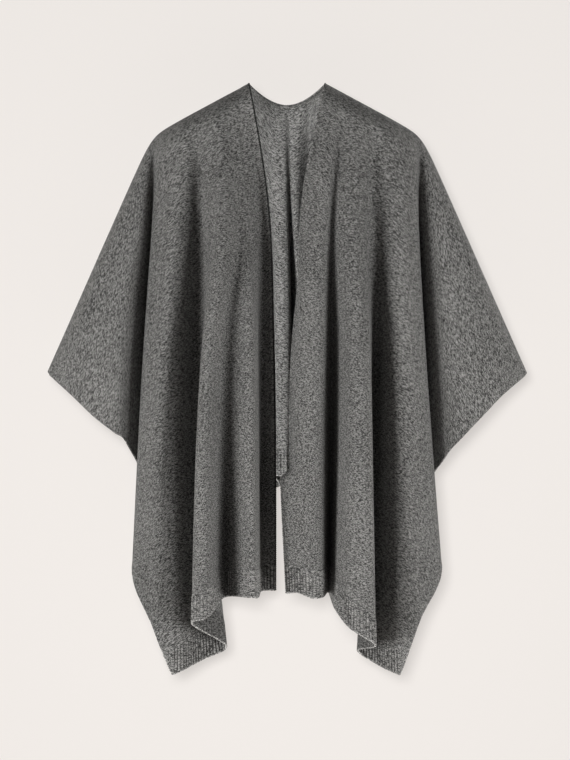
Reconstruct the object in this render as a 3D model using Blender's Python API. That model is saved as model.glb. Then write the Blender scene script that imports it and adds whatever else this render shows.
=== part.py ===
"""Open-front knitted poncho, hanging in the shape it takes when it is worn.

Frame: metres, +Z up, the front faces -Y, +X is the wearer's left. The origin
lies midway between the two neck points, on the line of the shoulders.

Each panel is a grid of columns and rows. A column runs from the shoulder line
down to the lower edge, and the fold tables say where each named column lies at
chest, waist and hem, how far it stands out from the shoulder line, and how far
below the neck it ends. Between the named columns the cloth is a smooth curve.
Table values are centimetres.
"""
import math
from collections import namedtuple

import bmesh
import bpy
import numpy as np

CM = 0.01

# Cloth and seams
WALL = 0.002
SEAM_GAP = 0.0003
RIB_GAP = 0.0007
RIB_DEPTH = 0.045
FRONT_LENGTH = 0.83
BACK_LENGTH = 0.63

# Shoulder line: a gentle slope from the neck, then the steep line of the arm
NECK_HALF_WIDTH = 0.063
SHOULDER_HALF_WIDTH = 0.222
SHOULDER_SLOPE = 0.541
ARM_SLOPE = 2.252
SHOULDER_ROUNDING = 0.0125

# Back neckline
BACK_NECK_SET_BACK = 0.088
BACK_NECK_DIP = 0.022
BACK_NECK_CURVE = 1.9

# The cloth over the shoulders and the body
ROLL_HEIGHT = 0.04
ROLL_SHARE = 0.6
TOP_OUT = 0.045
TOP_OUT_INNER = 0.30
TOP_OUT_OUTER = 0.41
BODY_LIFT = 0.05
BODY_LIFT_INNER = 0.16
BODY_LIFT_OUTER = 0.23

# Rows: angles over the shoulder roll, then even rows down to the rib
ROLL_ANGLES = (0.0, 5.0, 35.0, 65.0, 90.0)
FRONT_ROWS = 10
BACK_ROWS = 8
RIB_ROWS = 2
RIB_END_ROW = 0.997
COLUMN_WIDTH = 0.03
MOST_COLUMNS = 4
LEAST_STEP = 0.1
FINE_PLACES = 4000

# Half steps across and down the panel over which the slope of the cloth is measured
PLACE_STEP = 0.02
ROW_STEP = 0.002

CHEST, WAIST, HEM = 0.25, 0.5, 1.0

Fold = namedtuple(
    "Fold", "name top chest waist hem out_chest out_waist out_hem drop")

RIGHT_FRONT = (
    Fold("edge",               6.3,   3.0,   2.2,   1.9,   0.2,   1.0,  -2.4,  83.1),
    Fold("edge_valley",        6.9,   4.4,   4.3,   4.2,  -0.6,  -0.8,  -1.6,  83.1),
    Fold("crest_edge",         7.6,   5.4,   5.0,   4.7,   1.6,   3.2,   4.8,  83.4),
    Fold("inner_crest",        8.6,   6.3,   5.9,   5.8,   3.4,   6.4,   7.4,  83.1),
    Fold("soft_valley",        9.9,   7.8,   9.3,  10.1,   3.2,   4.2,   1.2,  83.8),
    Fold("main_crest",        11.5,  10.1,  12.0,  12.4,   5.4,   7.8,   8.6,  86.0),
    Fold("main_edge",         12.8,  11.8,  13.6,  15.0,   3.8,   6.4,   7.0,  87.4),
    Fold("under_turn",        13.7,  13.1,  13.4,  10.0,   1.0,  -1.2,  -2.8,  92.3),
    Fold("under_leg",         14.9,  14.7,  15.4,  14.0,  -1.0,  -2.6,  -2.4,  94.5),
    Fold("corner",            16.8,  16.8,  17.8,  18.5,   1.8,   2.4,   2.4,  96.4),
    Fold("outer_crest",       19.0,  19.3,  20.6,  21.7,   5.0,   6.4,   5.4,  88.6),
    Fold("outer_edge",        20.5,  21.8,  23.1,  25.1,   4.2,   5.4,   4.6,  79.5),
    Fold("crevice",           21.6,  22.2,  22.9,  22.4,   1.2,  -0.6,  -0.8,  69.0),
    Fold("wing_inner",        23.1,  23.6,  24.9,  26.0,   4.2,   4.2,   3.6,  59.2),
    Fold("wing_low",          26.7,  27.0,  27.4,  28.0,   5.0,   5.6,   5.0,  57.2),
    Fold("wing_mid",          30.9,  30.7,  30.8,  31.1,   4.8,   5.6,   5.0,  54.8),
    Fold("wing_high",         35.2,  34.9,  34.8,  34.8,   3.6,   4.2,   3.8,  51.4),
    Fold("tip",               39.4,  39.3,  39.2,  39.0,   0.8,   0.8,   0.8,  47.9),
)

LEFT_FRONT = (
    Fold("edge",               6.3,   2.2,  -0.6,  -0.1,   3.0,   3.6,   3.6,  82.9),
    Fold("edge_flat",          7.1,   3.3,   1.2,   1.8,   3.8,   4.8,   5.2,  82.6),
    Fold("inner_crest",        8.1,   5.0,   3.9,   3.9,   4.4,   5.8,   6.4,  83.3),
    Fold("inner_edge",         9.1,   6.3,   5.7,   5.6,   4.0,   4.8,   5.2,  83.3),
    Fold("inner_valley",       9.9,   7.4,   7.3,   6.8,   2.6,   0.4,  -2.2,  83.4),
    Fold("main_inner",        10.8,   8.7,   8.9,   7.8,   4.2,   4.8,   4.6,  85.4),
    Fold("main_crest",        12.0,  10.5,  10.5,  10.0,   5.2,   7.4,   8.2,  87.9),
    Fold("main_edge",         13.4,  12.5,  13.1,  14.0,   3.8,   6.2,   7.0,  90.7),
    Fold("under_turn",        14.4,  13.9,  13.7,  11.6,   0.8,  -1.6,  -2.6,  93.0),
    Fold("under_leg",         15.4,  15.2,  14.9,  14.7,   0.8,  -3.0,  -2.8,  95.2),
    Fold("corner",            17.3,  16.9,  17.2,  18.3,   3.0,   3.0,   1.6,  96.5),
    Fold("outer_crest",       19.1,  19.1,  20.2,  21.4,   5.0,   6.2,   5.2,  87.7),
    Fold("outer_edge",        20.5,  21.2,  22.3,  25.1,   4.2,   5.2,   4.2,  79.2),
    Fold("crevice",           21.6,  21.7,  22.1,  21.8,   1.0,  -0.8,  -0.8,  69.4),
    Fold("wing_inner",        23.1,  23.2,  24.0,  25.8,   4.2,   4.2,   3.6,  61.2),
    Fold("wing_low",          26.9,  26.9,  27.4,  28.2,   5.0,   5.6,   5.0,  58.2),
    Fold("wing_mid",          31.0,  30.9,  31.0,  31.4,   4.8,   5.6,   5.0,  54.8),
    Fold("wing_high",         35.3,  35.0,  35.0,  35.1,   3.6,   4.2,   3.8,  51.1),
    Fold("tip",               39.5,  39.4,  39.3,  39.1,   0.8,   0.8,   0.8,  48.0),
)

BACK = (
    Fold("right_tip",        -39.4, -39.3, -39.2, -39.0,   0.8,   0.8,   0.8,  47.6),
    Fold("right_wing_high",  -34.6, -34.3, -34.1, -34.0,   2.8,   3.2,   3.0,  50.6),
    Fold("right_wing_mid",   -30.0, -29.8, -29.7, -29.8,   3.8,   4.4,   4.2,  53.6),
    Fold("right_wing_low",   -25.8, -25.8, -26.0, -26.6,   4.4,   4.2,   3.8,  56.0),
    Fold("right_crevice",    -21.9, -22.0, -22.2, -21.8,   4.6,   3.4,   3.2,  62.5),
    Fold("right_side",       -20.2, -21.2, -22.2, -23.4,   6.0,   7.0,   7.0,  69.0),
    Fold("right_corner",     -17.6, -18.4, -19.2, -20.2,   5.0,   6.6,   7.2,  78.4),
    Fold("right_valley",     -15.0, -15.2, -15.6, -16.0,   3.6,   1.2,  -0.4,  75.6),
    Fold("right_crest",      -12.3, -12.2, -12.4, -12.8,   5.2,   7.4,   9.0,  72.2),
    Fold("right_furrow",      -9.6,  -9.3,  -9.2,  -9.2,   4.0,   2.2,   0.8,  69.4),
    Fold("right_neck",        -6.3,  -6.2,  -6.2,  -6.2,   4.8,   6.0,   7.0,  67.6),
    Fold("right_slope",       -4.4,  -4.0,  -4.1,  -4.1,   4.2,   4.2,   4.2,  67.0),
    Fold("strip_under",       -3.0,  -2.7,  -2.3,  -1.2,   4.2,   5.4,   6.0,  66.8),
    Fold("strip_edge",        -2.3,  -2.1,  -2.0,  -2.1,   3.4,   2.6,   2.4,  64.9),
    Fold("strip",             -1.2,  -0.9,  -0.9,  -0.9,   3.0,   2.0,   1.8,  64.9),
    Fold("strip_lip",         -0.5,  -0.1,   0.3,   0.2,   3.2,   2.4,   2.2,  64.9),
    Fold("centre_valley",      0.6,   0.5,   0.8,   1.0,   4.8,   7.0,   7.2,  65.0),
    Fold("left_slope",         2.0,   1.6,   1.9,   2.4,   3.4,   4.6,   3.4,  66.0),
    Fold("edge_valley",        4.0,   3.8,   3.6,   3.8,   6.4,   6.6,   6.6,  66.6),
    Fold("left_neck",          6.3,   6.2,   6.2,   6.2,   4.8,   6.8,   8.0,  67.2),
    Fold("left_furrow",        9.4,   9.4,   9.6,   9.8,   4.0,   2.0,   0.6,  69.6),
    Fold("left_crest",        12.8,  13.0,  13.4,  14.0,   5.2,   7.0,   8.2,  73.2),
    Fold("left_valley",       15.4,  15.8,  16.4,  17.0,   3.6,   1.6,   0.4,  76.4),
    Fold("left_corner",       17.8,  18.7,  19.5,  20.5,   5.0,   6.4,   6.8,  78.8),
    Fold("left_side",         20.2,  21.3,  22.4,  23.6,   6.0,   7.0,   6.8,  69.4),
    Fold("left_crevice",      21.9,  21.8,  22.0,  21.6,   4.4,   3.2,   3.0,  62.8),
    Fold("left_wing_low",     25.8,  25.8,  26.1,  26.8,   4.4,   4.2,   3.8,  56.6),
    Fold("left_wing_mid",     30.0,  29.9,  29.9,  30.0,   3.8,   4.4,   4.2,  53.8),
    Fold("left_wing_high",    34.6,  34.4,  34.3,  34.3,   2.8,   3.2,   3.0,  50.4),
    Fold("left_tip",          39.5,  39.4,  39.3,  39.1,   0.8,   0.8,   0.8,  47.6),
)

# Free edge of the left front: it swings towards the middle below the waist
LEFT_EDGE_JOG = {"size": 0.016, "row": 0.77, "spread": 0.009, "reach": 1.6}


def shoulder_height(x):
    """Height of the shoulder line: two slopes with a rounded change between them."""
    out = np.abs(x)
    gentle = SHOULDER_SLOPE * (out - NECK_HALF_WIDTH)
    knee = SHOULDER_SLOPE * (SHOULDER_HALF_WIDTH - NECK_HALF_WIDTH)
    steep = knee + ARM_SLOPE * (out - SHOULDER_HALF_WIDTH)
    rounded = np.logaddexp(gentle / SHOULDER_ROUNDING, steep / SHOULDER_ROUNDING)
    return -SHOULDER_ROUNDING * rounded


def neckline(x):
    """Share of the neckline's full set-back at x: 1 at the centre, 0 past the neck points."""
    away = np.clip(np.abs(x) / NECK_HALF_WIDTH, 0.0, 1.0)
    return 1.0 - away ** BACK_NECK_CURVE


def smooth(value, low, high):
    """0 below low, 1 above high, with a soft start and end."""
    share = np.clip((value - low) / (high - low), 0.0, 1.0)
    return share * share * (3.0 - 2.0 * share)


def body_lift(x):
    """How far the body holds the cloth out, which fades before the arm."""
    return BODY_LIFT * (1.0 - smooth(np.abs(x), BODY_LIFT_INNER, BODY_LIFT_OUTER))


def top_out(x):
    """How far the cloth stands out just below the shoulder line, before the folds."""
    return TOP_OUT * (1.0 - smooth(np.abs(x), TOP_OUT_INNER, TOP_OUT_OUTER)) + body_lift(x)


def across(values, place, corners):
    """Smooth curve through evenly numbered values, read at the places given.

    The last value, the drop, keeps two slopes at a corner of the cloth.
    """
    last = len(values) - 1
    low = np.clip(np.floor(place).astype(int), 0, last - 1)
    share = (place - low)[:, None]
    before = values[np.maximum(low - 1, 0)]
    after = values[np.minimum(low + 2, last)]
    start, end = values[low], values[low + 1]
    slope_start = 0.5 * (end - before)
    slope_end = 0.5 * (after - start)
    for corner in corners:
        slope_start[low == corner, -1] = (end - start)[low == corner, -1]
        slope_end[low == corner - 1, -1] = (end - start)[low == corner - 1, -1]
    bend = share * (1.0 - share)
    return (start + (end - start) * share * share * (3.0 - 2.0 * share)
            + slope_start * bend * (1.0 - share) - slope_end * bend * share)


def down(levels, values, rows):
    """Smooth curve through values at chest, waist and hem, read at the rows given."""
    steps = [(values[i + 1] - values[i]) / (levels[i + 1] - levels[i]) for i in range(3)]
    slopes = [1.25 * steps[0] - 0.25 * steps[1]]
    slopes += [0.5 * (steps[0] + steps[1]), (2.0 * steps[1] + steps[2]) / 3.0]
    slopes.append(1.25 * steps[2] - 0.25 * steps[1])
    result = np.zeros_like(rows)
    for i in range(3):
        reach = levels[i + 1] - levels[i]
        share = (rows - levels[i]) / reach
        bend = share * (1.0 - share)
        piece = (values[i] + (values[i + 1] - values[i]) * share * share * (3.0 - 2.0 * share)
                 + reach * bend * (slopes[i] * (1.0 - share) - slopes[i + 1] * share))
        inside = (rows >= levels[i]) & (rows <= levels[i + 1])
        result = np.where(inside, piece, result)
    return result


class Panel:
    """The mid-surface of one panel, worked out from its fold table."""

    def __init__(self, folds, side, facing, length, corners, jog=None):
        numbers = np.array([fold[1:] for fold in folds]) * CM
        numbers[:, :4] *= side
        self.numbers = numbers
        self.names = [fold.name for fold in folds]
        self.facing = facing
        self.length = length
        self.jog = jog
        self.corners = [self.names.index(name) for name in corners]
        heights = shoulder_height(numbers[:, 0]) + numbers[:, 7]
        self.corner_lengths = [heights[index] for index in self.corners]

    def steps(self):
        """Places across the panel: more of them where two named folds lie far apart.

        One place is added where the rib has tapered away beside each corner.
        """
        places = [0.0]
        last = len(self.names) - 1
        for index in range(last):
            change = self.numbers[index + 1] - self.numbers[index]
            width = np.hypot(change[1:4], change[4:7]).max()
            count = min(max(math.ceil(width / COLUMN_WIDTH), 2), MOST_COLUMNS)
            places += [index + (k + 1) / count for k in range(count)]
        fine = np.linspace(0.0, last, FINE_PLACES)
        ribbed = fine[self.rib_row(fine) < RIB_END_ROW]
        ends = [end for end in (ribbed[0], ribbed[-1]) if 0.0 < end < last]
        places = [place for place in places
                  if all(abs(place - end) > LEAST_STEP for end in ends)]
        return np.array(sorted(places + ends))

    def columns(self, place):
        """Values of the fold table between its rows, with the top points of the columns."""
        values = across(self.numbers, place, self.corners)
        top_x = values[:, 0]
        neck = neckline(top_x) if self.facing > 0 else np.zeros_like(top_x)
        top_y = BACK_NECK_SET_BACK * neck
        ridge = np.minimum(shoulder_height(top_x), shoulder_height(NECK_HALF_WIDTH))
        ridge = np.where(np.abs(top_x) <= NECK_HALF_WIDTH,
                         shoulder_height(NECK_HALF_WIDTH), ridge)
        top_z = ridge - BACK_NECK_DIP * neck
        return values, top_y, top_z

    def cloth_length(self, place):
        """Length of cloth in a column: whole up to the corner, then as the side rises."""
        values, _, top_z = self.columns(place)
        fall = top_z + values[:, 7]
        if len(self.corners) == 1:
            outside = place > self.corners[0]
            corner = self.corner_lengths[0]
        else:
            outside = (place < self.corners[0]) | (place > self.corners[1])
            corner = np.where(place < 0.5 * len(self.names), *self.corner_lengths)
        return np.where(outside, np.minimum(fall * self.length / corner, self.length),
                        self.length)

    def rib_row(self, place):
        """Row, from 0 at the shoulder to 1 at the edge, where the rib begins."""
        return np.minimum(1.0, (self.length - RIB_DEPTH) / self.cloth_length(place))

    def points(self, place, row):
        """Points of the mid-surface at places across and rows down, as one array."""
        values, top_y, top_z = self.columns(place)
        row = np.clip(row, 0.0, 1.0)
        top_x, chest, waist, hem, out_chest, out_waist, out_hem, drop = values.T
        fall = top_z + drop
        x = down((0.0, CHEST, WAIST, HEM), (top_x, chest, waist, hem), row)
        if self.jog:
            swing = 1.0 - smooth(row, self.jog["row"] - self.jog["spread"],
                                 self.jog["row"] + self.jog["spread"])
            near = 1.0 - smooth(place, 0.0, self.jog["reach"])
            early = smooth(row, 0.2, 0.45)
            x = x + self.jog["size"] * swing * near * early
        start_out = ROLL_SHARE * top_out(top_x)
        start_out = start_out + (BACK_NECK_SET_BACK - start_out) * top_y / BACK_NECK_SET_BACK
        outs = (start_out, out_chest + body_lift(chest),
                out_waist + body_lift(waist), out_hem + body_lift(hem))
        out = down((0.0, CHEST, WAIST, HEM), outs, row)
        roll = np.minimum(ROLL_HEIGHT, 0.5 * fall)
        turn = np.clip(1.0 - row * fall / roll, 0.0, 1.0)
        out = top_y + (out - top_y) * np.sqrt(1.0 - turn * turn)
        seam = 0.5 * SEAM_GAP * (top_y == 0.0)
        return np.stack([x, self.facing * (out + seam), top_z - row * fall], axis=-1)

    def rows(self, place, rows_below):
        """Row values of one column: over the shoulder roll, then evenly to the rib."""
        values, _, top_z = self.columns(place)
        fall = top_z + values[:, 7]
        roll = np.minimum(ROLL_HEIGHT, 0.5 * fall) / fall
        rows = [roll * (1.0 - math.cos(math.radians(angle))) for angle in ROLL_ANGLES]
        end = self.rib_row(place)
        rows += [roll + (end - roll) * (k + 1) / rows_below for k in range(rows_below)]
        return np.stack(rows)


def knit_material(name, shade):
    """Matt grey marl knit."""
    material = bpy.data.materials.new(name)
    material.use_nodes = True
    shader = material.node_tree.nodes["Principled BSDF"]
    shader.inputs["Base Color"].default_value = (shade, shade, shade * 0.97, 1.0)
    shader.inputs["Roughness"].default_value = 0.95
    shader.inputs["Metallic"].default_value = 0.0
    return material


def wall_faces(panel, place, rows):
    """Points of the outer and inner faces of the wall, square to the mid-surface."""
    last = len(panel.names) - 1
    outer, inner = [], []
    for row in rows:
        middle = panel.points(place, row)
        along = (panel.points(np.minimum(place + PLACE_STEP, last), row)
                 - panel.points(np.maximum(place - PLACE_STEP, 0.0), row))
        fall = (panel.points(place, np.minimum(row + ROW_STEP, 1.0))
                - panel.points(place, np.maximum(row - ROW_STEP, 0.0)))
        square = np.cross(along, fall)
        square /= np.linalg.norm(square, axis=-1, keepdims=True)
        outer.append(middle + 0.5 * WALL * square)
        inner.append(middle - 0.5 * WALL * square)
    return np.stack(outer), np.stack(inner)


def cloth_object(name, outer, inner, material, collection):
    """Two grids bent onto the faces of the wall and joined all round by its edge.

    The edge is split the same way everywhere, so that two pieces meet evenly.
    """
    row_count, column_count = outer.shape[:2]
    shape = bmesh.new()
    grids = []
    for points in (outer, inner):
        grid = bmesh.ops.create_grid(shape, x_segments=column_count - 1,
                                     y_segments=row_count - 1, size=1.0)["verts"]
        placed = {}
        for vertex in grid:
            column = round((vertex.co.x + 1.0) * 0.5 * (column_count - 1))
            row = round((vertex.co.y + 1.0) * 0.5 * (row_count - 1))
            placed[row, column] = vertex
        for key, vertex in placed.items():
            vertex.co = points[key]
        grids.append(placed)
    border = [(0, column) for column in range(column_count)]
    border += [(row, column_count - 1) for row in range(1, row_count)]
    border += [(row_count - 1, column) for column in reversed(range(column_count - 1))]
    border += [(row, 0) for row in reversed(range(1, row_count - 1))]
    for pair in zip(border, border[1:] + border[:1]):
        low, high = sorted(pair)
        shape.faces.new((grids[0][low], grids[0][high], grids[1][high]))
        shape.faces.new((grids[0][low], grids[1][high], grids[1][low]))
    bmesh.ops.recalc_face_normals(shape, faces=shape.faces)
    mesh = bpy.data.meshes.new(name)
    shape.to_mesh(mesh)
    shape.free()
    mesh.materials.append(material)
    mesh.shade_smooth()
    mesh.set_sharp_from_angle(angle=math.radians(60.0))
    collection.objects.link(bpy.data.objects.new(name, mesh))


def panel_object(name, panel, rows_below, material, collection):
    """The plain-knit part of a panel, from the shoulder line down to the rib."""
    place = panel.steps()
    outer, inner = wall_faces(panel, place, panel.rows(place, rows_below))
    cloth_object(name, outer, inner, material, collection)


def rib_object(name, panel, material, collection):
    """The ribbed band along the hem, which tapers away where it meets the side edge."""
    place = panel.steps()
    place = place[panel.rib_row(place) < 0.5 * (1.0 + RIB_END_ROW)]
    start = panel.rib_row(place) + RIB_GAP / panel.length
    rows = [start + (1.0 - start) * k / RIB_ROWS for k in range(RIB_ROWS + 1)]
    outer, inner = wall_faces(panel, place, rows)
    cloth_object(name, outer, inner, material, collection)


def clear_scene():
    """Remove whatever the scene holds."""
    for item in list(bpy.data.objects):
        bpy.data.objects.remove(item, do_unlink=True)


def build():
    """Make the three panels and their ribbed hems."""
    clear_scene()
    collection = bpy.data.collections.new("knitted_poncho")
    bpy.context.scene.collection.children.link(collection)
    right = Panel(RIGHT_FRONT, -1.0, -1.0, FRONT_LENGTH, ["corner"])
    left = Panel(LEFT_FRONT, 1.0, -1.0, FRONT_LENGTH, ["corner"], LEFT_EDGE_JOG)
    back = Panel(BACK, 1.0, 1.0, BACK_LENGTH, ["right_corner", "left_corner"])
    parts = (
        ("front_right", right, FRONT_ROWS, 0.110),
        ("front_left", left, FRONT_ROWS, 0.110),
        ("back", back, BACK_ROWS, 0.100),
    )
    for name, panel, rows_below, shade in parts:
        plain = knit_material("plain_knit_" + name, shade)
        ribbed = knit_material("rib_knit_" + name, shade * 1.1)
        panel_object(name + "_panel", panel, rows_below, plain, collection)
        rib_object(name + "_hem_rib", panel, ribbed, collection)


build()
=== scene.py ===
import math

import bpy
import numpy as np
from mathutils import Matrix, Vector


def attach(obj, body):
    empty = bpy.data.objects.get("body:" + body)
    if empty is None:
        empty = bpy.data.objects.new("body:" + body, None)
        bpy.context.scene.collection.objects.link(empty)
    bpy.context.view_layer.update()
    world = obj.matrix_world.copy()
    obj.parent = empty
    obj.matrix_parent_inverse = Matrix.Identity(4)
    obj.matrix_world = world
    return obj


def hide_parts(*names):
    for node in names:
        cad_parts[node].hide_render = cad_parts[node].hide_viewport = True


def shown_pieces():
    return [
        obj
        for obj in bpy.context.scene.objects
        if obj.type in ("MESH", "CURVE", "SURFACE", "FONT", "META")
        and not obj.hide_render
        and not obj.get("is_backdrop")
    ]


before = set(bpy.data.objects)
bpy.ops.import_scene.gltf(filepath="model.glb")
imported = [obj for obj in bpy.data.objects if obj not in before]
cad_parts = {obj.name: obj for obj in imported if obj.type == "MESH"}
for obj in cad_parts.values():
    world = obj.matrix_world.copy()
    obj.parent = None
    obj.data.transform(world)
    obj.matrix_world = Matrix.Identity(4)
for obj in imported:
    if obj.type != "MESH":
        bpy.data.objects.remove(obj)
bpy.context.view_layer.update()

# Open-front knitted poncho. The shape comes from fold tables in centimetres:
# across: where each fold lies at the shoulder line, chest, waist and hem
# out:    how far it stands off the shoulder line at chest, waist and hem
# drop:   how far below the neck it ends
# A crease runs from one place among the folds to another, between two shares of the way
# down; its width is counted in folds and its height is in millimetres. All other sizes
# are in metres.

print("stage 1: sizes")

cloth = {
    "wall": 0.0021,
    "ribDepth": 0.045,
    "ribPitch": 0.0056,
    "ribHeight": 0.001,
    # painted shade in the valleys between ribs, as a share
    "ribValleyShade": 0.8,
    "edgeRadius": 0.0015,
    "edgeStitch": 0.0034,
    "stitchWidth": 0.0021,
    "courseHeight": 0.0011,
    "relief": 0.0005,
    "hollowDepth": 0.034,
    "hollowColumns": 6,
    # how strongly the painted shade darkens the colour in the deepest folds
    "paintedShadeStrength": 0.96,
    "rollRows": 0.09,
}

centimetre = 0.01
millimetre = 0.001
tiny = 1e-12

figure = {
    "neckHalf": 0.063,
    "shoulderHalf": 0.222,
    "shoulderSlope": 0.541,
    "armSlope": 2.252,
    "rounding": 0.0125,
    "neckSetBack": 0.088,
    "neckDip": 0.022,
    "neckCurve": 1.9,
    "seamGap": 0.0003,
    "rollHeight": 0.04,
    "rollShare": 0.6,
    "topOut": 0.045,
    "topInner": 0.30,
    "topOuter": 0.41,
    "lift": 0.05,
    "liftInner": 0.16,
    "liftOuter": 0.23,
}

levels = (0.0, 0.25, 0.5, 1.0)

rightFront = {
    "name": "rightFront",
    "nodes": ("front_right_panel", "front_right_hem_rib"),
    "side": -1.0,
    "facing": -1.0,
    "length": 0.83,
    "corners": ["corner"],
    "grid": (190, 250),
    "openingEdgeShade": 0.97,
    "edgeJog": None,
    "folds": [
        ("edge",             6.3,   3.0,   2.2,   1.9,   0.2,   1.0,  -2.4,  83.1),
        ("edgeValley",       6.9,   4.4,   4.3,   4.2,  -0.6,  -0.8,  -1.6,  83.1),
        ("crestEdge",        7.6,   5.4,   5.0,   4.7,   1.6,   3.2,   4.8,  83.4),
        ("innerCrest",       8.6,   6.3,   5.9,   5.8,   3.4,   6.4,   7.4,  83.1),
        ("softValley",       9.9,   7.8,   9.3,  10.1,   3.2,   4.2,   1.2,  83.8),
        ("mainCrest",       11.5,  10.1,  12.0,  12.4,   5.4,   7.8,   8.6,  86.0),
        ("mainEdge",        12.8,  11.8,  13.6,  15.0,   3.8,   6.4,   7.0,  87.4),
        ("underTurn",       13.7,  13.1,  13.4,  10.0,   1.0,  -1.2,  -2.8,  92.3),
        ("underLeg",        14.9,  14.7,  15.4,  14.0,  -1.0,  -2.6,  -2.4,  94.5),
        ("corner",          16.8,  16.8,  17.8,  18.5,   1.8,   2.4,   2.4,  96.4),
        ("outerCrest",      19.0,  19.3,  20.6,  21.7,   5.0,   6.4,   5.4,  88.6),
        ("outerEdge",       20.5,  21.8,  23.1,  25.1,   4.2,   5.4,   4.6,  79.5),
        ("crevice",         21.6,  22.2,  22.9,  22.4,   1.2,  -0.6,  -0.8,  69.0),
        ("wingInner",       23.1,  23.6,  24.9,  26.0,   4.2,   4.2,   3.6,  59.2),
        ("wingLow",         26.7,  27.0,  27.4,  28.0,   5.0,   5.6,   5.0,  57.2),
        ("wingMid",         30.9,  30.7,  30.8,  31.1,   4.8,   5.6,   5.0,  54.8),
        ("wingHigh",        35.2,  34.9,  34.8,  34.8,   3.6,   4.2,   3.8,  51.4),
        ("tip",             39.4,  39.3,  39.2,  39.0,   0.8,   0.8,   0.8,  47.9),
    ],
    "creases": [
        ("neckFold",      2.6,  3.2,  0.00,  0.42,  0.90,  -9.0),
        ("shoulderFold",  7.6,  7.4,  0.06,  0.45,  0.70,  -3.0),
        ("chestPull",    10.6, 10.2,  0.10,  0.50,  0.45,  -1.6),
        ("sideSoft",      9.6, 10.0,  0.35,  0.80,  0.35,   1.8),
        ("wingSoft",     14.6, 14.2,  0.10,  1.00,  0.35,  -2.2),
        ("wingRidge",    15.6, 15.4,  0.15,  1.00,  0.30,   1.6),
    ],
}

leftFront = {
    "name": "leftFront",
    "nodes": ("front_left_panel", "front_left_hem_rib"),
    "side": 1.0,
    "facing": -1.0,
    "length": 0.83,
    "corners": ["corner"],
    "grid": (190, 250),
    "openingEdgeShade": 0.45,
    "edgeJog": {"size": 0.016, "row": 0.77, "spread": 0.009, "reach": 1.6,
                "start": 0.2, "full": 0.45},
    "folds": [
        ("edge",             6.3,   2.2,  -0.6,  -0.1,   3.0,   3.6,   3.6,  82.9),
        ("edgeFlat",         7.1,   3.3,   1.2,   1.8,   3.8,   4.8,   5.2,  82.6),
        ("innerCrest",       8.1,   5.0,   3.9,   3.9,   4.4,   5.8,   6.4,  83.3),
        ("innerEdge",        9.1,   6.3,   5.7,   5.6,   4.0,   4.8,   5.2,  83.3),
        ("innerValley",      9.9,   7.4,   7.3,   6.8,   2.6,   0.4,  -2.2,  83.4),
        ("mainInner",       10.8,   8.7,   8.9,   7.8,   4.2,   4.8,   4.6,  85.4),
        ("mainCrest",       12.0,  10.5,  10.5,  10.0,   5.2,   7.4,   8.2,  87.9),
        ("mainEdge",        13.4,  12.5,  13.1,  14.0,   3.8,   6.2,   7.0,  90.7),
        ("underTurn",       14.4,  13.9,  13.7,  11.6,   0.8,  -1.6,  -2.6,  93.0),
        ("underLeg",        15.4,  15.2,  14.9,  14.7,   0.8,  -3.0,  -2.8,  95.2),
        ("corner",          17.3,  16.9,  17.2,  18.3,   3.0,   3.0,   1.6,  96.5),
        ("outerCrest",      19.1,  19.1,  20.2,  21.4,   5.0,   6.2,   5.2,  87.7),
        ("outerEdge",       20.5,  21.2,  22.3,  25.1,   4.2,   5.2,   4.2,  79.2),
        ("crevice",         21.6,  21.7,  22.1,  21.8,   1.0,  -0.8,  -0.8,  69.4),
        ("wingInner",       23.1,  23.2,  24.0,  25.8,   4.2,   4.2,   3.6,  61.2),
        ("wingLow",         26.9,  26.9,  27.4,  28.2,   5.0,   5.6,   5.0,  58.2),
        ("wingMid",         31.0,  30.9,  31.0,  31.4,   4.8,   5.6,   5.0,  54.8),
        ("wingHigh",        35.3,  35.0,  35.0,  35.1,   3.6,   4.2,   3.8,  51.1),
        ("tip",             39.5,  39.4,  39.3,  39.1,   0.8,   0.8,   0.8,  48.0),
    ],
    "creases": [
        ("neckFold",      3.4,  3.9,  0.02,  0.30,  0.55,  -3.0),
        ("shoulderFold",  7.6,  7.4,  0.05,  0.40,  0.70,  -2.6),
        ("chestPull",    11.6, 11.0,  0.12,  0.55,  0.45,  -1.6),
        ("frontSoft",     6.2,  6.4,  0.40,  0.90,  0.35,   1.6),
        ("wingSoft",     15.6, 15.2,  0.12,  1.00,  0.35,  -2.2),
        ("wingRidge",    16.5, 16.3,  0.15,  1.00,  0.30,   1.6),
    ],
}

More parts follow.
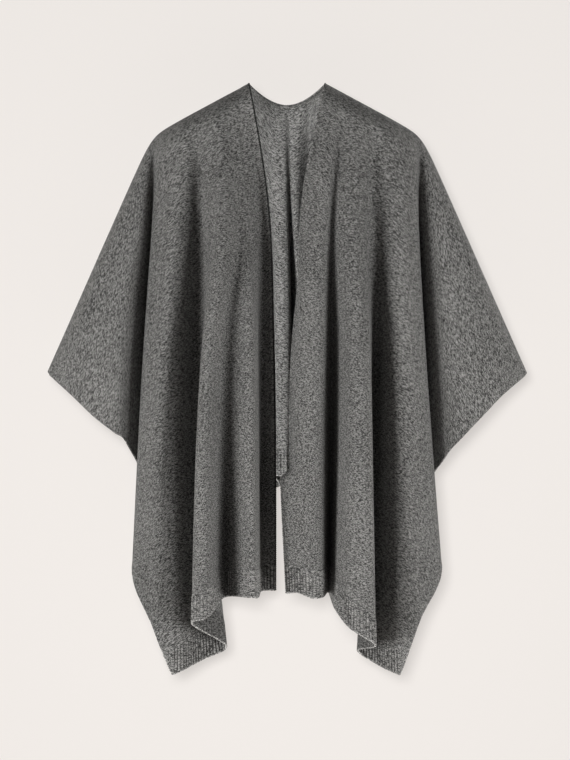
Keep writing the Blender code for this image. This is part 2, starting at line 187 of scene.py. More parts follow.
back = {
    "name": "back",
    "nodes": ("back_panel", "back_hem_rib"),
    "side": 1.0,
    "facing": 1.0,
    "length": 0.63,
    "corners": ["rightCorner", "leftCorner"],
    "grid": (240, 195),
    "openingEdgeShade": 0.7,
    "edgeJog": None,
    "folds": [
        ("rightTip",       -39.4, -39.3, -39.2, -39.0,   0.8,   0.8,   0.8,  47.6),
        ("rightWingHigh",  -34.6, -34.3, -34.1, -34.0,   2.8,   3.2,   3.0,  50.6),
        ("rightWingMid",   -30.0, -29.8, -29.7, -29.8,   3.8,   4.4,   4.2,  53.6),
        ("rightWingLow",   -25.8, -25.8, -26.0, -26.6,   4.4,   4.2,   3.8,  56.0),
        ("rightCrevice",   -21.9, -22.0, -22.2, -21.8,   4.6,   3.4,   3.2,  62.5),
        ("rightSide",      -20.2, -21.2, -22.2, -23.4,   6.0,   7.0,   7.0,  69.0),
        ("rightCorner",    -17.6, -18.4, -19.2, -20.2,   5.0,   6.6,   7.2,  78.4),
        ("rightValley",    -15.0, -15.2, -15.6, -16.0,   3.6,   1.2,  -0.4,  75.6),
        ("rightCrest",     -12.3, -12.2, -12.4, -12.8,   5.2,   7.4,   9.0,  72.2),
        ("rightFurrow",     -9.6,  -9.3,  -9.2,  -9.2,   4.0,   2.2,   0.8,  69.4),
        ("rightNeck",       -6.3,  -6.2,  -6.2,  -6.2,   4.8,   6.0,   7.0,  67.6),
        ("rightSlope",      -4.4,  -4.0,  -4.1,  -4.1,   4.2,   4.2,   4.2,  67.0),
        ("stripUnder",      -3.0,  -2.7,  -2.3,  -1.2,   4.2,   5.4,   6.0,  66.8),
        ("stripEdge",       -2.3,  -2.1,  -2.0,  -2.1,   3.4,   2.6,   2.4,  64.9),
        ("strip",           -1.2,  -0.9,  -0.9,  -0.9,   3.0,   2.0,   1.8,  64.9),
        ("stripLip",        -0.5,  -0.1,   0.3,   0.2,   3.2,   2.4,   2.2,  64.9),
        ("centreValley",     0.6,   0.5,   0.8,   1.0,   4.8,   7.0,   7.2,  65.0),
        ("leftSlope",        2.0,   1.6,   1.9,   2.4,   3.4,   4.6,   3.4,  66.0),
        ("edgeValley",       4.0,   3.8,   3.6,   3.8,   6.4,   6.6,   6.6,  66.6),
        ("leftNeck",         6.3,   6.2,   6.2,   6.2,   4.8,   6.8,   8.0,  67.2),
        ("leftFurrow",       9.4,   9.4,   9.6,   9.8,   4.0,   2.0,   0.6,  69.6),
        ("leftCrest",       12.8,  13.0,  13.4,  14.0,   5.2,   7.0,   8.2,  73.2),
        ("leftValley",      15.4,  15.8,  16.4,  17.0,   3.6,   1.6,   0.4,  76.4),
        ("leftCorner",      17.8,  18.7,  19.5,  20.5,   5.0,   6.4,   6.8,  78.8),
        ("leftSide",        20.2,  21.3,  22.4,  23.6,   6.0,   7.0,   6.8,  69.4),
        ("leftCrevice",     21.9,  21.8,  22.0,  21.6,   4.4,   3.2,   3.0,  62.8),
        ("leftWingLow",     25.8,  25.8,  26.1,  26.8,   4.4,   4.2,   3.8,  56.6),
        ("leftWingMid",     30.0,  29.9,  29.9,  30.0,   3.8,   4.4,   4.2,  53.8),
        ("leftWingHigh",    34.6,  34.4,  34.3,  34.3,   2.8,   3.2,   3.0,  50.4),
        ("leftTip",         39.5,  39.4,  39.3,  39.1,   0.8,   0.8,   0.8,  47.6),
    ],
    "creases": [
        ("rightShoulder",  8.6,  8.2,  0.08,  0.55,  0.60,   2.6),
        ("rightFurrow",    9.7,  9.5,  0.10,  0.75,  0.40,  -2.2),
        ("leftShoulder",  21.2, 21.6,  0.10,  0.60,  0.60,   2.4),
        ("leftFurrow",    20.2, 20.4,  0.12,  0.70,  0.40,  -2.4),
        ("rightWing",      2.4,  2.6,  0.12,  1.00,  0.40,  -2.0),
        ("leftWing",      27.4, 27.2,  0.12,  1.00,  0.40,  -2.0),
    ],
}


def soften(value, low, high):
    # 0 below low and 1 above high, joined by share * share * (3 - 2 * share)
    share = np.clip((value - low) / (high - low), 0.0, 1.0)
    return share * share * (3.0 - 2.0 * share)


def shoulderLine(x):
    # two straight slopes joined softly: -r * log(exp(gentle / r) + exp(steep / r))
    r = figure["rounding"]
    gentle = figure["shoulderSlope"] * (np.abs(x) - figure["neckHalf"])
    knee = figure["shoulderSlope"] * (figure["shoulderHalf"] - figure["neckHalf"])
    steep = knee + figure["armSlope"] * (np.abs(x) - figure["shoulderHalf"])
    return -r * np.logaddexp(gentle / r, steep / r)


def curveAcross(rows, place, corners):
    # cubic through the numbered rows, its slope at a row half the step between its
    # neighbours; at a corner of the cloth the lower edge keeps two slopes, one each side
    last = len(rows) - 1
    low = np.clip(np.floor(place).astype(int), 0, last - 1)
    share = (place - low)[:, None]
    start, end = rows[low], rows[low + 1]
    slopeStart = 0.5 * (end - rows[np.maximum(low - 1, 0)])
    slopeEnd = 0.5 * (rows[np.minimum(low + 2, last)] - start)
    for corner in corners:
        slopeStart[low == corner, -1] = (end - start)[low == corner, -1]
        slopeEnd[low == corner - 1, -1] = (end - start)[low == corner - 1, -1]
    bend = share * (1.0 - share)
    return (start + (end - start) * share * share * (3.0 - 2.0 * share)
            + slopeStart * bend * (1.0 - share) - slopeEnd * bend * share)


def curveDown(values, row):
    # cubic through the values at the shoulder line, chest, waist and hem; the slopes at
    # the chest and waist are means of the steps beside them, and each end's slope is its
    # own step moved on by a quarter of the difference from the next
    steps = [(values[i + 1] - values[i]) / (levels[i + 1] - levels[i]) for i in range(3)]
    slopes = [1.25 * steps[0] - 0.25 * steps[1], 0.5 * (steps[0] + steps[1]),
              (2.0 * steps[1] + steps[2]) / 3.0, 1.25 * steps[2] - 0.25 * steps[1]]
    result = np.zeros_like(row)
    for i in range(3):
        reach = levels[i + 1] - levels[i]
        share = (row - levels[i]) / reach
        bend = share * (1.0 - share)
        piece = (values[i] + (values[i + 1] - values[i]) * share * share * (3.0 - 2.0 * share)
                 + reach * bend * (slopes[i] * (1.0 - share) - slopes[i + 1] * share))
        inside = (row >= levels[i]) & (row <= levels[i + 1])
        result = np.where(inside, piece, result)
    return result


def columnValues(panel, place):
    # the fold table read between its rows, the drop last, with the depth and height of
    # each column's top
    numbers = np.array([fold[1:] for fold in panel["folds"]]) * centimetre
    numbers[:, :4] *= panel["side"]
    names = [fold[0] for fold in panel["folds"]]
    corners = [names.index(name) for name in panel["corners"]]
    values = curveAcross(numbers, place, corners)
    topX = values[:, 0]
    away = np.clip(np.abs(topX) / figure["neckHalf"], 0.0, 1.0)
    neck = 1.0 - away ** figure["neckCurve"] if panel["facing"] > 0 else 0.0 * topX
    topZ = shoulderLine(np.maximum(np.abs(topX), figure["neckHalf"])) - figure["neckDip"] * neck
    return values, figure["neckSetBack"] * neck, topZ


def clothLength(panel, place):
    # whole length up to the corner, then shorter in step with the fall of the column
    names = [fold[0] for fold in panel["folds"]]
    corners = [names.index(name) for name in panel["corners"]]
    values, _, topZ = columnValues(panel, place)
    at, _, atZ = columnValues(panel, np.array(corners, float))
    cornerFall = atZ + at[:, -1]
    nearest = np.where(place < 0.5 * len(names), cornerFall[0], cornerFall[-1])
    outside = place > corners[-1]
    if len(corners) > 1:
        outside = outside | (place < corners[0])
    length = panel["length"]
    scaled = np.minimum((topZ + values[:, -1]) * length / nearest, length)
    return np.where(outside, scaled, length)


def panelPoints(panel, place, row):
    # place is one value a column, row is a grid of shares from shoulder line to lower edge
    values, topY, topZ = columnValues(panel, place)
    row = np.clip(row, 0.0, 1.0)
    topX, chest, waist, hem, outChest, outWaist, outHem, drop = values.T
    fall = topZ + drop
    x = curveDown((topX, chest, waist, hem), row)
    jog = panel["edgeJog"]
    if jog:
        swing = 1.0 - soften(row, jog["row"] - jog["spread"], jog["row"] + jog["spread"])
        near = 1.0 - soften(place, 0.0, jog["reach"])
        x = x + jog["size"] * swing * near * soften(row, jog["start"], jog["full"])
    lift = [figure["lift"] * (1.0 - soften(np.abs(across), figure["liftInner"],
                                           figure["liftOuter"]))
            for across in (topX, chest, waist, hem)]
    topOut = figure["topOut"] * (1.0 - soften(np.abs(topX), figure["topInner"],
                                              figure["topOuter"]))
    startOut = figure["rollShare"] * (topOut + lift[0])
    startOut = startOut + (figure["neckSetBack"] - startOut) * topY / figure["neckSetBack"]
    out = curveDown((startOut, outChest + lift[1], outWaist + lift[2], outHem + lift[3]), row)
    roll = np.minimum(figure["rollHeight"], 0.5 * fall)
    turn = np.clip(1.0 - row * fall / roll, 0.0, 1.0)
    out = topY + (out - topY) * np.sqrt(1.0 - turn * turn)
    out = out + 0.5 * figure["seamGap"] * (topY == 0.0)
    return np.stack([x, panel["facing"] * out, topZ - row * fall], axis=-1)


def gridRows(panel, place, count):
    # rows crowd over the shoulder roll by equal angles, then run evenly to the rib
    values, _, topZ = columnValues(panel, place)
    fall = topZ + values[:, -1]
    roll = np.minimum(figure["rollHeight"], 0.5 * fall) / fall
    turning = int(count * cloth["rollRows"])
    angles = np.linspace(0.0, 0.5 * math.pi, turning + 1)[:, None]
    over = roll * (1.0 - np.cos(angles))
    end = ribStart(panel, place)
    below = roll + (end - roll) * np.linspace(0.0, 1.0, count - turning + 1)[1:, None]
    return np.concatenate([over, below])


def ribStart(panel, place):
    # the share of the fall at which the rib begins; 1 where the cloth ends above it
    length = clothLength(panel, place)
    return np.minimum(1.0, (panel["length"] - cloth["ribDepth"]) / length)


def surfaceNormals(points):
    # square to the two directions of the grid, pointing away from the body
    along = np.gradient(points, axis=1)
    fall = np.gradient(points, axis=0)
    square = np.cross(along, fall)
    return square / np.maximum(np.linalg.norm(square, axis=-1, keepdims=True), tiny)


def creaseHeight(panel, place, row):
    # each crease is a bell across its line, exp(-(distance / width) ** 2), faded at both
    # ends of its run by sin(pi * run) ** 0.7
    height = np.zeros_like(row)
    for crease in panel["creases"]:
        placeTop, placeLow, rowTop, rowLow, width, depth = crease[1:]
        run = np.clip((row - rowTop) / (rowLow - rowTop), 0.0, 1.0)
        centre = placeTop + (placeLow - placeTop) * run
        fade = np.sin(math.pi * run) ** 0.7
        bell = np.exp(-((place - centre) / width) ** 2)
        height += depth * millimetre * fade * bell
    return height


mapping = {
    "slopeStep": 0.004,
    "outwardReach": 0.15,
    "leastStep": 1e-5,
    "rollSlack": 1e-6,
}


def clothCoordinates(panel, place, points):
    # v: distance over the shoulder roll and then down, less where the shoulder line is
    # steep and the courses run aslant, by 1 / sqrt(1 + slope squared); u: distance along
    # lines of even depth from a column that stays still, moved on with depth so that it
    # stays square to v
    topX = columnValues(panel, place)[0][:, 0]
    step = mapping["slopeStep"]
    slope = (shoulderLine(np.abs(topX) - step) - shoulderLine(np.abs(topX) + step)) / (2.0 * step)
    aslant = 1.0 / np.sqrt(1.0 + slope * slope)
    depth = points[:1, :, 2] - points[..., 2]
    down = np.diff(depth, axis=0) * aslant
    over = np.hypot(np.linalg.norm(np.diff(points[..., :2], axis=0), axis=-1), down)
    down = np.where(depth[1:] < figure["rollHeight"] + mapping["rollSlack"], over, down)
    v = np.concatenate([np.zeros((1, len(place))), np.cumsum(down, axis=0)])
    fallStep = np.maximum(np.gradient(depth, axis=0), mapping["leastStep"])
    fall = np.gradient(points, axis=0) / fallStep[..., None]
    level = (np.diff(points, axis=1)
             - np.diff(depth, axis=1)[..., None] * 0.5 * (fall[:, 1:] + fall[:, :-1]))
    u = np.cumsum(np.linalg.norm(level, axis=-1), axis=1)
    u = np.concatenate([np.zeros((len(u), 1)), u], axis=1)
    still = figure["shoulderHalf"] if panel["facing"] < 0 else 0.0
    u = u - u[:, np.argmin(np.abs(np.abs(topX) - still))][:, None]
    outward = np.sign(np.gradient(np.abs(topX)))
    outward = outward * soften(np.abs(topX), 0.0, mapping["outwardReach"])
    return u + depth * outward * slope * aslant, v


def hollowShare(points, facing, columns):
    # how far each point lies behind the cloth beside it, as a share: its row smoothed by
    # a bell of so many columns, exp(-0.5 * (reach / columns) ** 2), cut off at three times
    # its width, less its own depth; a ridge outside is below 0, and is the hollow of the
    # inner face
    # this share is painted shade: it darkens the cloth's colour in folds and hollows
    out = facing * points[..., 1]
    reach = np.arange(-3 * columns, 3 * columns + 1)
    bell = np.exp(-0.5 * (reach / columns) ** 2)
    padded = np.pad(out, ((0, 0), (len(reach) // 2, len(reach) // 2)), mode="edge")
    smooth = np.stack([np.convolve(line, bell / bell.sum(), mode="valid") for line in padded])
    return np.clip((smooth - out) / cloth["hollowDepth"], -1.0, 1.0)


def meshPiece(name, points, quads, uv, paintedShade, material, node):
    mesh = bpy.data.meshes.new(name)
    mesh.vertices.add(len(points))
    mesh.vertices.foreach_set("co", points.reshape(-1).astype(np.float32))
    mesh.loops.add(quads.size)
    mesh.loops.foreach_set("vertex_index", quads.reshape(-1).astype(np.int32))
    mesh.polygons.add(len(quads))
    mesh.polygons.foreach_set("loop_start", np.arange(0, quads.size, 4, dtype=np.int32))
    mesh.update(calc_edges=True)
    layer = mesh.uv_layers.new(name="clothMap")
    layer.data.foreach_set("uv", uv[quads.reshape(-1)].reshape(-1).astype(np.float32))
    # the painted shade of each point, which darkens its colour in folds
    shade = mesh.attributes.new("paintedShade", "FLOAT", "POINT")
    shade.data.foreach_set("value", paintedShade.reshape(-1).astype(np.float32))
    mesh.validate()
    mesh.shade_smooth()
    mesh.materials.append(material)
    piece = bpy.data.objects.new(name, mesh)
    bpy.context.scene.collection.objects.link(piece)
    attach(piece, "root")
    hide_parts(node)
    return piece


def clothMesh(name, points, u, v, paintedShade, materials, node):
    # a sheet of squares given thickness by Solidify
    rowCount, columnCount = points.shape[:2]
    index = np.arange(rowCount * columnCount).reshape(rowCount, columnCount)
    quads = np.stack([index[:-1, :-1], index[:-1, 1:], index[1:, 1:], index[1:, :-1]], axis=-1)
    uv = np.stack([u, v], axis=-1).reshape(-1, 2)
    outside, inside = materials
    piece = meshPiece(name, points.reshape(-1, 3), quads.reshape(-1, 4), uv, paintedShade, outside,
                      node)
    solid = piece.modifiers.new("wall", "SOLIDIFY")
    solid.thickness = cloth["wall"]
    solid.offset = 0.0
    # the inner face of the wall has its own material
    piece.data.materials.append(inside)
    solid.material_offset = 1
    return piece


marl = {
    "fleckLength": 0.0052,
    "fleckShift": 17.31,
    "fleckCourse": 3.77,
    "fleckTone": 2.2,
    "fineAcross": 2.2,
    "fineDown": 1.3,
    "fineTone": 3.0,
    "stitchShift": 0.37,
    "stitchTone": 0.35,
    "streakAcross": 95.0,
    "streakDown": 900.0,
    "streakTone": 1.2,
    "slowAcross": 6.0,
    "slowDown": 9.0,
    "slowTone": 0.25,
    "stops": ((0.05, 0.018), (0.35, 0.055), (0.6, 0.125), (0.9, 0.30)),
    "warmth": (1.0, 0.985, 0.95),
    # how the painted shade grows with the fold depth share
    "paintedShadePower": 1.3,
    "legHeight": 0.35,
    "ladderHeight": 0.35,
    "fineHeight": 0.6,
}


def addKnitGroup():
    # marl yarn in courses: short flecks that stay within a course, fine fibre, a tone for
    # each stitch, thin streaks along the course and a slow change, added up and read off a
    # ramp of greys, then darkened by painted shade in folds and hollows; the height is the V
    # of plain knit stitches
    group = bpy.data.node_groups.new("marlKnit", "ShaderNodeTree")
    face = group.interface
    face.new_socket("Map", in_out="INPUT", socket_type="NodeSocketVector")
    for label, value in (("Course", cloth["courseHeight"]), ("Stitch", cloth["stitchWidth"]),
                         ("Fleck", marl["fleckLength"]), ("Contrast", 1.0), ("Tone", 1.0),
                         ("PaintedShade", 0.0), ("Side", 1.0)):
        socket = face.new_socket(label, in_out="INPUT", socket_type="NodeSocketFloat")
        socket.default_value = value
    face.new_socket("Color", in_out="OUTPUT", socket_type="NodeSocketColor")
    face.new_socket("Height", in_out="OUTPUT", socket_type="NodeSocketFloat")
    nodes, links = group.nodes, group.links
    start = nodes.new("NodeGroupInput")
    end = nodes.new("NodeGroupOutput")

    def maths(kind, a, b=None):
        node = nodes.new("ShaderNodeMath")
        node.operation = kind
        for socket, value in zip(node.inputs, (a, b)):
            if value is None:
                continue
            if isinstance(value, (int, float)):
                socket.default_value = value
            else:
                links.new(value, socket)
        return node.outputs[0]

    def scaled(value, scale):
        return maths("MULTIPLY", value, scale)

    def noise(x, y, detail):
        join = nodes.new("ShaderNodeCombineXYZ")
        links.new(x, join.inputs[0])
        links.new(y, join.inputs[1])
        node = nodes.new("ShaderNodeTexNoise")
        node.noise_dimensions = "2D"
        node.inputs["Scale"].default_value = 1.0
        node.inputs["Detail"].default_value = detail
        node.inputs["Roughness"].default_value = 0.5
        links.new(join.outputs[0], node.inputs["Vector"])
        return node.outputs["Fac"]

    parts = nodes.new("ShaderNodeSeparateXYZ")
    links.new(start.outputs["Map"], parts.inputs[0])
    u, v = parts.outputs[0], parts.outputs[1]
    course = maths("DIVIDE", v, start.outputs["Course"])
    courseNumber = maths("FLOOR", course)
    stitch = maths("DIVIDE", u, start.outputs["Stitch"])
    fleckPlace = maths("DIVIDE", u, start.outputs["Fleck"])
    fleck = noise(maths("ADD", fleckPlace, scaled(courseNumber, marl["fleckShift"])),
                  scaled(courseNumber, marl["fleckCourse"]), 1.0)
    fine = noise(scaled(stitch, marl["fineAcross"]), scaled(course, marl["fineDown"]), 1.0)
    streak = noise(scaled(u, marl["streakAcross"]), scaled(v, marl["streakDown"]), 1.0)
    cell = nodes.new("ShaderNodeCombineXYZ")
    shifted = maths("ADD", stitch, scaled(courseNumber, marl["stitchShift"]))
    links.new(maths("FLOOR", shifted), cell.inputs[0])
    links.new(courseNumber, cell.inputs[1])
    single = nodes.new("ShaderNodeTexWhiteNoise")
    single.noise_dimensions = "2D"
    links.new(cell.outputs[0], single.inputs["Vector"])
    yarn = single.outputs["Value"]
    slow = noise(scaled(u, marl["slowAcross"]), scaled(v, marl["slowDown"]), 2.0)
    mixed = scaled(maths("SUBTRACT", fleck, 0.5), marl["fleckTone"])
    for part, weight in ((fine, marl["fineTone"]), (yarn, marl["stitchTone"]),
                         (streak, marl["streakTone"]), (slow, marl["slowTone"])):
        mixed = maths("ADD", mixed, scaled(maths("SUBTRACT", part, 0.5), weight))
    mixed = maths("MULTIPLY", mixed, start.outputs["Contrast"])
    mixed = maths("ADD", mixed, 0.5)
    ramp = nodes.new("ShaderNodeValToRGB")
    links.new(mixed, ramp.inputs[0])
    while len(ramp.color_ramp.elements) < len(marl["stops"]):
        ramp.color_ramp.elements.new(0.5)
    for element, (position, shade) in zip(ramp.color_ramp.elements, marl["stops"]):
        element.position = position
        element.color = (*[shade * share for share in marl["warmth"]], 1.0)
    tone = nodes.new("ShaderNodeVectorMath")
    tone.operation = "SCALE"
    links.new(ramp.outputs[0], tone.inputs[0])
    # painted shade: the fold share darkens the tone; on an inner face, behind the ridges outside
    paintedShade = maths("MAXIMUM", maths("MULTIPLY", start.outputs["PaintedShade"],
                                    start.outputs["Side"]), 0.0)
    deep = maths("POWER", maths("MINIMUM", paintedShade, 1.0), marl["paintedShadePower"])
    shade = maths("SUBTRACT", 1.0, maths("MULTIPLY", deep, cloth["paintedShadeStrength"]))
    links.new(maths("MULTIPLY", start.outputs["Tone"], shade), tone.inputs["Scale"])
    links.new(tone.outputs[0], end.inputs["Color"])
    inStitch = maths("ABSOLUTE", maths("SUBTRACT", maths("FRACT", stitch), 0.5))
    legs = maths("SINE", maths("MULTIPLY", maths("ADD", course, inStitch), 2.0 * math.pi))
    ladder = maths("COSINE", maths("MULTIPLY", maths("SUBTRACT", inStitch, 0.25), 4.0 * math.pi))
    height = maths("ADD", scaled(legs, marl["legHeight"]), scaled(ladder, marl["ladderHeight"]))
    height = maths("ADD", height, scaled(fine, marl["fineHeight"]))
    links.new(height, end.inputs["Height"])
    return group


def knitMaterial(name, group, tone, contrast, bump, side=1.0):
    # side is -1 for an inner face, whose painted shade lies behind the ridges outside
    material = bpy.data.materials.new(name)
    material.use_nodes = True
    nodes, links = material.node_tree.nodes, material.node_tree.links
    shader = nodes["Principled BSDF"]
    shader.inputs["Roughness"].default_value = 0.92
    shader.inputs["Specular IOR Level"].default_value = 0.12
    shader.inputs["Sheen Weight"].default_value = 0.08
    shader.inputs["Sheen Roughness"].default_value = 0.55
    shader.inputs["Sheen Tint"].default_value = (0.8, 0.8, 0.78, 1.0)
    layer = nodes.new("ShaderNodeUVMap")
    layer.uv_map = "clothMap"
    knit = nodes.new("ShaderNodeGroup")
    knit.node_tree = group
    knit.inputs["Course"].default_value = cloth["courseHeight"]
    knit.inputs["Stitch"].default_value = cloth["stitchWidth"]
    knit.inputs["Tone"].default_value = tone
    knit.inputs["Contrast"].default_value = contrast
    knit.inputs["Side"].default_value = side
    links.new(layer.outputs[0], knit.inputs["Map"])
    # the painted shade attribute darkens the base colour
    paintedShade = nodes.new("ShaderNodeAttribute")
    paintedShade.attribute_name = "paintedShade"
    links.new(paintedShade.outputs["Fac"], knit.inputs["PaintedShade"])
    links.new(knit.outputs["Color"], shader.inputs["Base Color"])
    relief = nodes.new("ShaderNodeBump")
    relief.inputs["Strength"].default_value = bump
    relief.inputs["Distance"].default_value = cloth["relief"]
    links.new(knit.outputs["Height"], relief.inputs["Height"])
    links.new(relief.outputs[0], shader.inputs["Normal"])
    return material


def buildPanel(panel, plain, ribbed, edging):
    # plain knit from the shoulder line to the rib, then the ribbed band
    columnCount, rowCount = panel["grid"]
    last = len(panel["folds"]) - 1
    place = evenPlaces(panel, last, columnCount)
    if panel["side"] * panel["facing"] < 0:
        place = place[::-1]
    row = gridRows(panel, place, rowCount)
    points = panelPoints(panel, place, row)
    normals = surfaceNormals(points)
    points = points + normals * creaseHeight(panel, place, row)[..., None]
    u, v = clothCoordinates(panel, place, points)
    paintedShade = hollowShare(points, panel["facing"], cloth["hollowColumns"])
    piece = clothMesh(panel["name"] + "Cloth", points, u, v, paintedShade, plain,
                      panel["nodes"][0])
    rib = buildRib(panel, ribbed)
    return piece, [rib, buildEdge(panel, edging)]


edge = {
    "samplesAcross": 4000,
    "samplesDown": 1600,
    "sides": 8,
    "step": 0.25,
    "swell": 0.2,
    "turnWidth": 0.0005,
    "hemRise": 0.002,
    "openingHalf": 0.068,
    # painted shade on the edges away from the opening
    "plainEdgeShade": 0.5,
}


def buildEdge(panel, material):
    # the last stitches of the cloth: a thin roll swept along its free edges, its radius
    # (1 + swell * cos) of the distance, one swell for each stitch
    last = len(panel["folds"]) - 1
    sides = edge["sides"]
    fine = np.linspace(0.0, last, edge["samplesAcross"])
    lower = panelPoints(panel, fine, np.ones((1, len(fine))))[0]
    if panel["facing"] < 0:
        down = np.linspace(0.0, 1.0, edge["samplesDown"])[:, None]
        side = panelPoints(panel, np.zeros(1), down)[:, 0]
        lines = [np.concatenate([side, lower[1:]])]
    else:
        values = columnValues(panel, fine)[0]
        across = fine[np.abs(values[:, 0]) < figure["neckHalf"]]
        lines = [lower, panelPoints(panel, across, np.zeros((1, len(across))))[0]]
    # the edge of the rib gets no painted shade, so its painted highlight shows; the free edges
    # by the opening get a painted shadow line, each panel's by its own share, and the other
    # edges a lighter painted shade
    ribbed = lower[ribStart(panel, fine) < 1.0]
    hemSpan = np.sort(ribbed[[0, -1], 0])
    rings, quads, pairs, shades = [], [], [], []
    turns = np.linspace(0.0, 2.0 * math.pi, sides + 1)[:-1]
    for line in lines:
        length = np.concatenate([[0.0], np.cumsum(np.linalg.norm(np.diff(line, axis=0), axis=1))])
        distance = np.arange(0.0, length[-1], edge["step"] * cloth["edgeStitch"])
        path = np.stack([np.interp(distance, length, line[:, i]) for i in range(3)], axis=-1)
        along = np.gradient(path, axis=0)
        along /= np.maximum(np.linalg.norm(along, axis=1, keepdims=True), tiny)
        aside = np.cross(along, (0.0, 1.0, 0.0))
        aside /= np.maximum(np.linalg.norm(aside, axis=1, keepdims=True), tiny)
        third = np.cross(along, aside)
        swell = 1.0 + edge["swell"] * np.cos(2.0 * math.pi * distance / cloth["edgeStitch"])
        radius = cloth["edgeRadius"] * swell[:, None, None]
        ring = path[:, None] + radius * (np.cos(turns)[:, None] * aside[:, None]
                                         + np.sin(turns)[:, None] * third[:, None])
        first = sum(len(r) for r in rings) * sides
        index = first + np.arange(len(ring) * sides).reshape(len(ring), sides)
        ahead = np.roll(index, -1, axis=1)
        quads.append(np.stack([index[:-1], ahead[:-1], ahead[1:], index[1:]], axis=-1))
        rings.append(ring)
        spread = np.broadcast_arrays(distance[:, None], edge["turnWidth"] * turns)
        pairs.append(np.stack(spread, axis=-1))
        onHem = ((path[:, 0] > hemSpan[0]) & (path[:, 0] < hemSpan[1])
                 & (path[:, 2] < ribbed[:, 2].max() + edge["hemRise"]))
        opening = np.abs(path[:, 0]) < edge["openingHalf"]
        # painted shadow along the free edges, strongest by the opening
        free = np.where(opening, panel["openingEdgeShade"], edge["plainEdgeShade"])
        shades.append(np.repeat(np.where(onHem, 0.0, free), sides))
    points = np.concatenate(rings).reshape(-1, 3)
    uv = np.concatenate(pairs).reshape(-1, 2)
    quads = np.concatenate([q.reshape(-1, 4) for q in quads])
    return meshPiece(panel["name"] + "Edge", points, quads, uv, np.concatenate(shades),
                     material, panel["nodes"][1])


columnSpread = {
    "samples": 2000,
    "rows": (0.25, 0.5, 0.9),
}


def evenPlaces(panel, last, count):
    # columns spread by the mean width of cloth between them at three rows
    fine = np.linspace(0.0, last, columnSpread["samples"])
    width = 0.0
    for level in columnSpread["rows"]:
        points = panelPoints(panel, fine, np.full((1, len(fine)), level))[0]
        step = np.linalg.norm(np.diff(points, axis=0), axis=1)
        width = width + step / step.sum()
    total = np.concatenate([[0.0], np.cumsum(width)])
    return np.interp(np.linspace(0.0, total[-1], count + 1), total, fine)


ribbing = {
    "samples": 4000,
    "lastStart": 0.9995,
    "hemRow": 0.98,
    "columnsEach": 7,
    "rows": 12,
    "rise": 0.012,
    "hollowWider": 6,
}


def buildRib(panel, materials):
    # ribs stand off the band as a cosine of the distance along the hem
    last = len(panel["folds"]) - 1
    fine = np.linspace(0.0, last, ribbing["samples"])
    fine = fine[ribStart(panel, fine) < ribbing["lastStart"]]
    hem = panelPoints(panel, fine, np.full((1, len(fine)), ribbing["hemRow"]))[0]
    total = np.concatenate([[0.0], np.cumsum(np.linalg.norm(np.diff(hem, axis=0), axis=1))])
    ribs = int(total[-1] / cloth["ribPitch"])
    distance = np.linspace(0.0, total[-1], ribs * ribbing["columnsEach"] + 1)
    place = np.interp(distance, total, fine)
    if panel["side"] * panel["facing"] < 0:
        place, distance = place[::-1], distance[::-1]
    start = ribStart(panel, place)
    row = start + (1.0 - start) * np.linspace(0.0, 1.0, ribbing["rows"] + 1)[:, None]
    points = panelPoints(panel, place, row)
    normals = surfaceNormals(points)
    wave = np.cos(2.0 * math.pi * distance / cloth["ribPitch"])
    grow = soften(row - start, 0.0, ribbing["rise"])
    points = points + normals * (cloth["ribHeight"] * wave * grow)[..., None]
    u = np.broadcast_to(distance, row.shape)
    # painted shade in the valleys between ribs, added to the painted shade of the folds
    paintedRibShade = cloth["ribValleyShade"] * 0.5 * (1.0 - wave) * grow
    columns = ribbing["hollowWider"] * cloth["hollowColumns"]
    paintedShade = hollowShare(points, panel["facing"], columns) + paintedRibShade
    return clothMesh(panel["name"] + "HemRib", points, u, row * panel["length"], paintedShade,
                     materials, panel["nodes"][1])


print("stage 2: materials")
knitGroup = addKnitGroup()
plainKnit = knitMaterial("plainKnit", knitGroup, tone=0.93, contrast=1.13, bump=0.5)
ribKnit = knitMaterial("ribKnit", knitGroup, tone=1.08, contrast=0.95, bump=0.5)
# the edge roll is painted bright: a painted highlight along the edges
edgeHighlightKnit = knitMaterial("edgeHighlightKnit", knitGroup, tone=1.9, contrast=0.6, bump=0.3)
backInside = knitMaterial("backInside", knitGroup, tone=1.0, contrast=0.95, bump=0.4, side=-1.0)
# the fronts' inner face is painted darker: painted shade inside the garment
frontInsideShaded = knitMaterial("frontInsideShaded", knitGroup, tone=0.6, contrast=0.9, bump=0.4, side=-1.0)

print("stage 3: panels")
for panel, cut, area in ((rightFront, (0.61, 0.83), 0.46), (leftFront, (0.61, 0.83), 0.46),
                         (back, (1.34, 0.63), 0.66)):
    inner = backInside if panel is back else frontInsideShaded
    piece, others = buildPanel(panel, (plainKnit, inner), (ribKnit, inner), edgeHighlightKnit)

print("stage 4: studio")

studio = {
    "wallDepth": 0.165,
    "wallTop": 2.4,
    "halfWidth": 4.0,
    "bendRadius": 0.5,
    "bendSteps": 16,
    "floorHeight": -2.2,
    "floorFront": -5.0,
    "backdrop": (0.879, 0.84, 0.807),
    "diffuse": 0.4,
    "glow": 0.585,
    "room": (1.0, 0.99, 0.97, 1.0),
    "ambient": 0.05,
    "pale": 0.8,
}


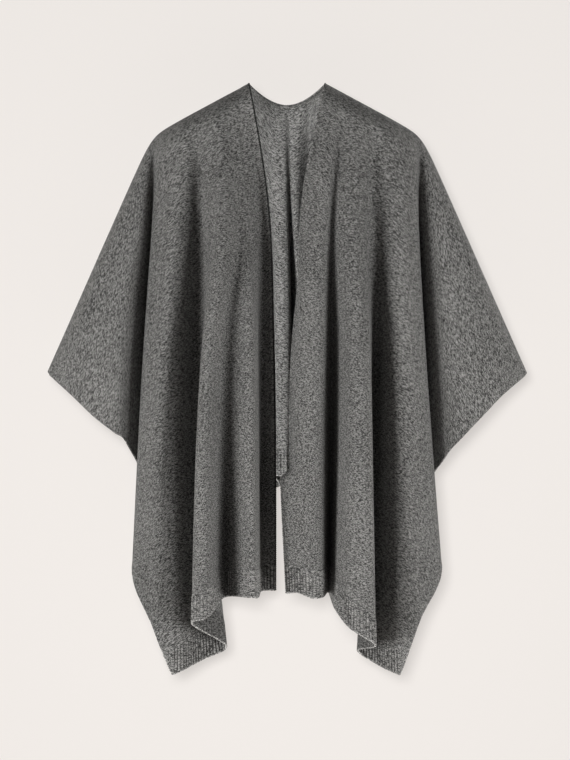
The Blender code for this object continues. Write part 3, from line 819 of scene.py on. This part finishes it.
def buildBackdrop():
    # a wall that turns into the floor through a quarter circle, swept sideways
    radius = studio["bendRadius"]
    turn = np.linspace(0.0, 0.5 * math.pi, studio["bendSteps"] + 1)
    depth = studio["wallDepth"]
    floor = studio["floorHeight"]
    profile = [(depth, studio["wallTop"])]
    profile += [(depth - radius * (1.0 - math.cos(a)), floor + radius * (1.0 - math.sin(a)))
                for a in turn]
    profile += [(studio["floorFront"], floor)]
    profile = np.array(profile)
    sides = np.array([-studio["halfWidth"], studio["halfWidth"]])
    points = np.stack([np.broadcast_to(sides[:, None], (2, len(profile))),
                       np.broadcast_to(profile[:, 0], (2, len(profile))),
                       np.broadcast_to(profile[:, 1], (2, len(profile)))], axis=-1)
    mesh = bpy.data.meshes.new("backdrop")
    count = len(profile)
    quads = [(i, i + 1, count + i + 1, count + i) for i in range(count - 1)]
    mesh.from_pydata(points.reshape(-1, 3).tolist(), [], quads)
    mesh.shade_smooth()
    material = bpy.data.materials.new("backdrop")
    material.use_nodes = True
    shader = material.node_tree.nodes["Principled BSDF"]
    # the wall is part lit and part glowing
    dull = [studio["diffuse"] * value for value in studio["backdrop"]]
    shader.inputs["Base Color"].default_value = (*dull, 1.0)
    shader.inputs["Roughness"].default_value = 1.0
    shader.inputs["Specular IOR Level"].default_value = 0.0
    shader.inputs["Emission Color"].default_value = (*studio["backdrop"], 1.0)
    shader.inputs["Emission Strength"].default_value = studio["glow"]
    # seen from behind, the wall is clear
    nodes, links = material.node_tree.nodes, material.node_tree.links
    clear = nodes.new("ShaderNodeBsdfTransparent")
    facing = nodes.new("ShaderNodeNewGeometry")
    mix = nodes.new("ShaderNodeMixShader")
    links.new(facing.outputs["Backfacing"], mix.inputs[0])
    links.new(shader.outputs[0], mix.inputs[1])
    links.new(clear.outputs[0], mix.inputs[2])
    links.new(mix.outputs[0], nodes["Material Output"].inputs["Surface"])
    mesh.materials.append(material)
    sheet = bpy.data.objects.new("backdrop", mesh)
    bpy.context.scene.collection.objects.link(sheet)
    sheet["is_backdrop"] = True
    return sheet


def addLight(name, place, target, size, power):
    light = bpy.data.lights.new(name, "AREA")
    light.shape = "SQUARE"
    light.size = size
    light.energy = power
    lamp = bpy.data.objects.new(name, light)
    lamp.location = place
    lamp.rotation_euler = (Vector(target) - Vector(place)).to_track_quat("-Z", "Y").to_euler()
    bpy.context.scene.collection.objects.link(lamp)
    return lamp


def lightOnly(lamp, objects, alone=False):
    # the lamp lights these objects and no others; alone: nothing else shades them from it
    group = bpy.data.collections.new(lamp.name + "Lit")
    bpy.context.scene.collection.children.link(group)
    for item in objects:
        group.objects.link(item)
    lamp.light_linking.receiver_collection = group
    if alone:
        lamp.light_linking.blocker_collection = group


backdrop = buildBackdrop()
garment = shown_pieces()
backPieces = [item for item in garment if item.name.startswith("back")]
middle = (0.0, 0.0, -0.48)
leftBox = addLight("leftBox", place=(-2.3, -1.9, -1.2), target=middle, size=1.2, power=97.0)
rightBox = addLight("rightBox", place=(2.3, -1.9, -1.2), target=middle, size=1.2, power=84.0)
front = addLight("front", place=(-0.2, -3.2, -0.1), target=middle, size=0.8, power=4.0)
for lamp in (leftBox, rightBox, front):
    lightOnly(lamp, garment)
# the inside of the back, seen through the opening, has a box of its own
insideBox = addLight("insideBox", place=(-1.4, -2.4, -0.6), target=(0.0, 0.1, -0.45),
                     size=0.5, power=120.0)
lightOnly(insideBox, backPieces, alone=True)
# and so has the outside, for the views from behind
backBox = addLight("backBox", place=(0.9, 2.6, 0.3), target=middle, size=1.4, power=70.0)
lightOnly(backBox, garment, alone=True)
# a small box throws the short soft shadow on the wall
wallBox = addLight("wallBox", place=(-0.15, -3.2, -0.33), target=middle, size=0.4, power=92.0)
lightOnly(wallBox, [backdrop])

world = bpy.data.worlds.new("softRoom")
world.use_nodes = True
world.node_tree.nodes["Background"].inputs[0].default_value = studio["room"]
# the room looks pale to the eye but lights the cloth only a little
looked = world.node_tree.nodes.new("ShaderNodeLightPath")
strength = world.node_tree.nodes.new("ShaderNodeMapRange")
strength.inputs["To Min"].default_value = studio["ambient"]
strength.inputs["To Max"].default_value = studio["pale"]
world.node_tree.links.new(looked.outputs["Is Camera Ray"], strength.inputs["Value"])
world.node_tree.links.new(strength.outputs[0], world.node_tree.nodes["Background"].inputs[1])
bpy.context.scene.world = world
bpy.context.scene.view_settings.view_transform = "Standard"

print("stage 5: camera")
lens = {"distance": 3.0, "height": -0.4876, "sideways": -0.0033, "millimetres": 86.1}
camera = bpy.data.cameras.new("camera")
camera.lens = lens["millimetres"]
camera.sensor_width = 36.0
viewer = bpy.data.objects.new("camera", camera)
viewer.location = (lens["sideways"], -lens["distance"], lens["height"])
viewer.rotation_euler = (0.5 * math.pi, 0.0, 0.0)
bpy.context.scene.collection.objects.link(viewer)
bpy.context.scene.camera = viewer
